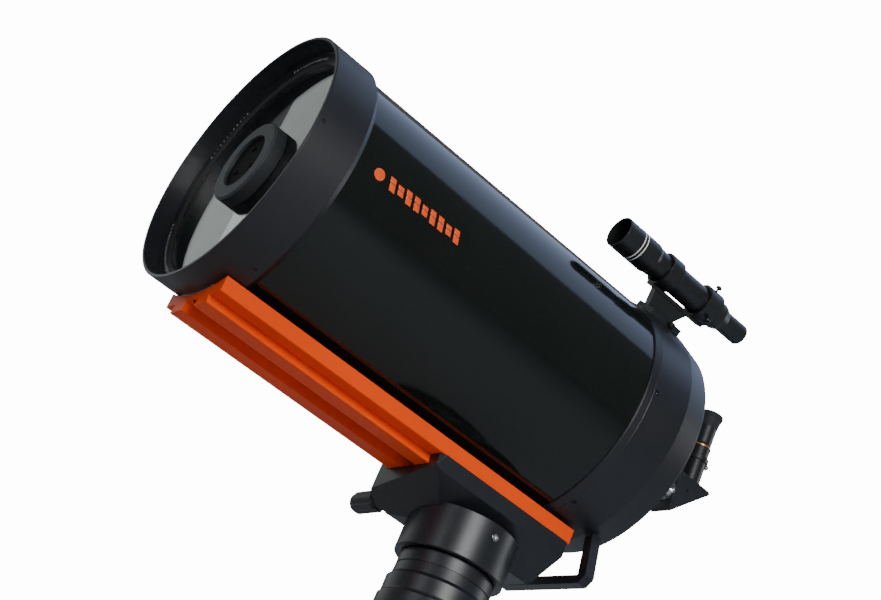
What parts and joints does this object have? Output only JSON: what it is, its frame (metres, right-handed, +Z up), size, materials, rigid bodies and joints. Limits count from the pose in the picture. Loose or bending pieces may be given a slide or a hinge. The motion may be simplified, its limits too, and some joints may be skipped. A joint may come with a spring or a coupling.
{
  "type": "schmidt cassegrain telescope",
  "caption": "Large catadioptric telescope tube with finder, diagonal and eyepiece, clamped by its orange dovetail bar in a mount saddle on a declination axis.",
  "frame": {"origin": "centre of the base flange's underside, on the declination axis", "axes": "+Z points up the declination axis. +Y runs along the optical axis from the sky end to the eyepiece. +X is the side that carries the finder."},
  "size_m": [0.413, 0.99, 0.7375],
  "materials": {
    "tube_gloss_black": "gloss paint",
    "cell_satin_black": "satin paint",
    "corrector_glass": "polished",
    "lens_glass": "polished",
    "mirror_glass": "polished",
    "black_anodised": "satin",
    "grey_ring": "satin",
    "orange_anodised": "satin",
    "bare_aluminium": "machined",
    "black_steel": "black oxide",
    "chrome": "polished",
    "brass": "machined",
    "black_rubber": "matt",
    "cork": "plain",
    "mount_satin_black": "satin paint",
    "knob_plastic": "satin",
    "lacquered_body": "satin"
  },
  "bodies": {
    "mount": {"base_flange": "mount_satin_black", "declination_housing": "mount_satin_black", "declination_bearings": "bare_aluminium"},
    "head": {"declination_collar": "mount_satin_black", "collar_clamp_screw": "chrome", "saddle_body": "mount_satin_black"},
    "jaw": {"saddle_jaw": "mount_satin_black"},
    "clamp": {"clamp_screw": "black_steel", "clamp_knob": "knob_plastic"},
    "telescope": {"front_cell": "cell_satin_black", "cell_screws": "black_steel", "corrector_gasket": "cork", "corrector_plate": "corrector_glass", "corrector_retaining_ring": "black_anodised", "retaining_ring_screws": "black_steel", "main_tube": "tube_gloss_black", "secondary_retainer": "grey_ring", "secondary_housing": "black_anodised", "secondary_cover_plate": "knob_plastic", "rear_cell": "cell_satin_black", "primary_baffle_tube": "black_anodised", "baffle_lock_nut": "bare_aluminium", "focus_bushing": "bare_aluminium", "rear_port_adapter": "black_anodised", "visual_back": "black_anodised", "finder_shoe": "black_anodised", "dovetail_bar": "orange_anodised", "dovetail_screws": "black_steel", "radius_pads": "bare_aluminium", "rear_handle": "cell_satin_black"},
    "secondary": {"secondary_cell": "black_anodised", "secondary_mirror": "mirror_glass"},
    "collimation_1": {"collimation_screw_1": "black_steel"},
    "collimation_2": {"collimation_screw_2": "black_steel"},
    "collimation_3": {"collimation_screw_3": "black_steel"},
    "mirror": {"mirror_carriage": "bare_aluminium", "primary_mirror": "mirror_glass", "mirror_lock_ring": "black_anodised"},
    "focuser": {"focus_screw": "brass", "focus_knob": "black_rubber"},
    "back_ring": {"visual_back_ring": "black_anodised"},
    "diagonal": {"diagonal_nose": "chrome", "diagonal_body": "lacquered_body", "diagonal_side_plates": "lacquered_body", "diagonal_mirror": "mirror_glass", "eyepiece_holder": "black_anodised"},
    "holder_screw": {"eyepiece_thumbscrew": "chrome"},
    "eyepiece": {"eyepiece_body": "black_anodised", "eyecup": "black_rubber", "eyepiece_lenses": "lens_glass"},
    "finder_bracket": {"finder_bracket": "black_anodised", "finder_o_ring": "black_rubber"},
    "shoe_screw": {"finder_shoe_screw": "black_anodised"},
    "finder": {"finder_tube": "black_anodised", "finder_eyepiece": "black_anodised", "finder_lenses": "lens_glass"},
    "finder_shield": {"finder_dew_shield": "black_anodised"},
    "finder_screw_1": {"finder_adjusting_screw_1": "black_anodised"},
    "finder_screw_2": {"finder_adjusting_screw_2": "black_anodised"},
    "finder_screw_3": {"finder_adjusting_screw_3": "black_anodised"}
  },
  "joints": [
    {"name": "declination", "type": "hinge", "parent": "mount", "child": "head", "pos_m": [0, 0, 0.15], "axis": [0, 0, 1], "continuous": true},
    {"name": "jaw_slide", "type": "slide", "parent": "head", "child": "jaw", "axis": [-1, 0, 0], "range_m": [0, 0.006]},
    {"name": "clamp_turn", "type": "hinge", "parent": "jaw", "child": "clamp", "pos_m": [-0.1, -0.097, 0.20575], "axis": [-1, 0, 0], "range_deg": [0, 1442]},
    {"name": "dovetail_slide", "type": "slide", "parent": "head", "child": "telescope", "axis": [0, 1, 0], "range_m": [-0.02, 0.12]},
    {"name": "focus_turn", "type": "hinge", "parent": "telescope", "child": "focuser", "pos_m": [-0.08487, 0.206, 0.519], "axis": [0, 1, 0], "range_deg": [-2884, 2884]},
    {"name": "mirror_slide", "type": "slide", "parent": "telescope", "child": "mirror", "axis": [0, 1, 0], "range_m": [-0.008, 0.008]},
    {"name": "back_ring_turn", "type": "hinge", "parent": "telescope", "child": "back_ring", "pos_m": [0, 0.291, 0.47], "axis": [0, 1, 0], "range_deg": [0, 720]},
    {"name": "diagonal_turn", "type": "hinge", "parent": "telescope", "child": "diagonal", "pos_m": [0, 0.316, 0.47], "axis": [0, 1, 0], "continuous": true},
    {"name": "holder_screw_turn", "type": "hinge", "parent": "diagonal", "child": "holder_screw", "pos_m": [0, 0.396, 0.549], "axis": [0, 1, 0], "range_deg": [0, 720]},
    {"name": "eyepiece_slide", "type": "slide", "parent": "diagonal", "child": "eyepiece", "axis": [0, 0, 1], "range_m": [0, 0.035]},
    {"name": "finder_bracket_slide", "type": "slide", "parent": "telescope", "child": "finder_bracket", "axis": [0, -1, 0], "range_m": [0, 0.06]},
    {"name": "shoe_screw_turn", "type": "hinge", "parent": "telescope", "child": "shoe_screw", "pos_m": [0.10395, 0.129, 0.65005], "axis": [0.866, 0, -0.5], "range_deg": [0, 720]},
    {"name": "finder_tilt", "type": "hinge", "parent": "finder_bracket", "child": "finder", "pos_m": [0.134, 0.079, 0.7021], "axis": [0.866, 0, -0.5], "range_deg": [-0.8, 0.8]},
    {"name": "finder_screw_1_slide", "type": "slide", "parent": "finder_bracket", "child": "finder_screw_1", "axis": [0.5, 0, 0.866], "range_m": [-0.0014, 0.0014]},
    {"name": "finder_screw_2_slide", "type": "slide", "parent": "finder_bracket", "child": "finder_screw_2", "axis": [-1, 0, 0], "range_m": [-0.0008, 0.0008]},
    {"name": "finder_screw_3_slide", "type": "slide", "parent": "finder_bracket", "child": "finder_screw_3", "axis": [0.5, 0, -0.866], "range_m": [-0.0008, 0.0008]},
    {"name": "finder_focus_turn", "type": "hinge", "parent": "finder", "child": "finder_shield", "pos_m": [0.134, 0.016, 0.7021], "axis": [0, 1, 0], "range_deg": [0, 720]},
    {"name": "secondary_tilt", "type": "hinge", "parent": "telescope", "child": "secondary", "pos_m": [0, -0.5566, 0.47], "axis": [1, 0, 0], "range_deg": [-0.74, 0.74]},
    {"name": "collimation_1_turn", "type": "hinge", "parent": "telescope", "child": "collimation_1", "pos_m": [0, -0.564, 0.494], "axis": [0, 1, 0], "range_deg": [-160, 160]},
    {"name": "collimation_2_turn", "type": "hinge", "parent": "telescope", "child": "collimation_2", "pos_m": [-0.02079, -0.564, 0.458], "axis": [0, 1, 0], "range_deg": [-160, 160]},
    {"name": "collimation_3_turn", "type": "hinge", "parent": "telescope", "child": "collimation_3", "pos_m": [0.02079, -0.564, 0.458], "axis": [0, 1, 0], "range_deg": [-160, 160]}
  ],
  "couplings": [
    {"joint": "clamp_turn", "follows": "jaw_slide", "rad_per_m": 4188.8},
    {"joint": "focus_turn", "follows": "mirror_slide", "rad_per_m": 6283.2},
    {"joint": "finder_screw_1_slide", "follows": "finder_tilt", "m_per_rad": 0.094},
    {"joint": "finder_screw_2_slide", "follows": "finder_tilt", "m_per_rad": -0.047},
    {"joint": "finder_screw_3_slide", "follows": "finder_tilt", "m_per_rad": -0.047},
    {"joint": "collimation_1_turn", "follows": "secondary_tilt", "ratio": 215.42}
  ]
}
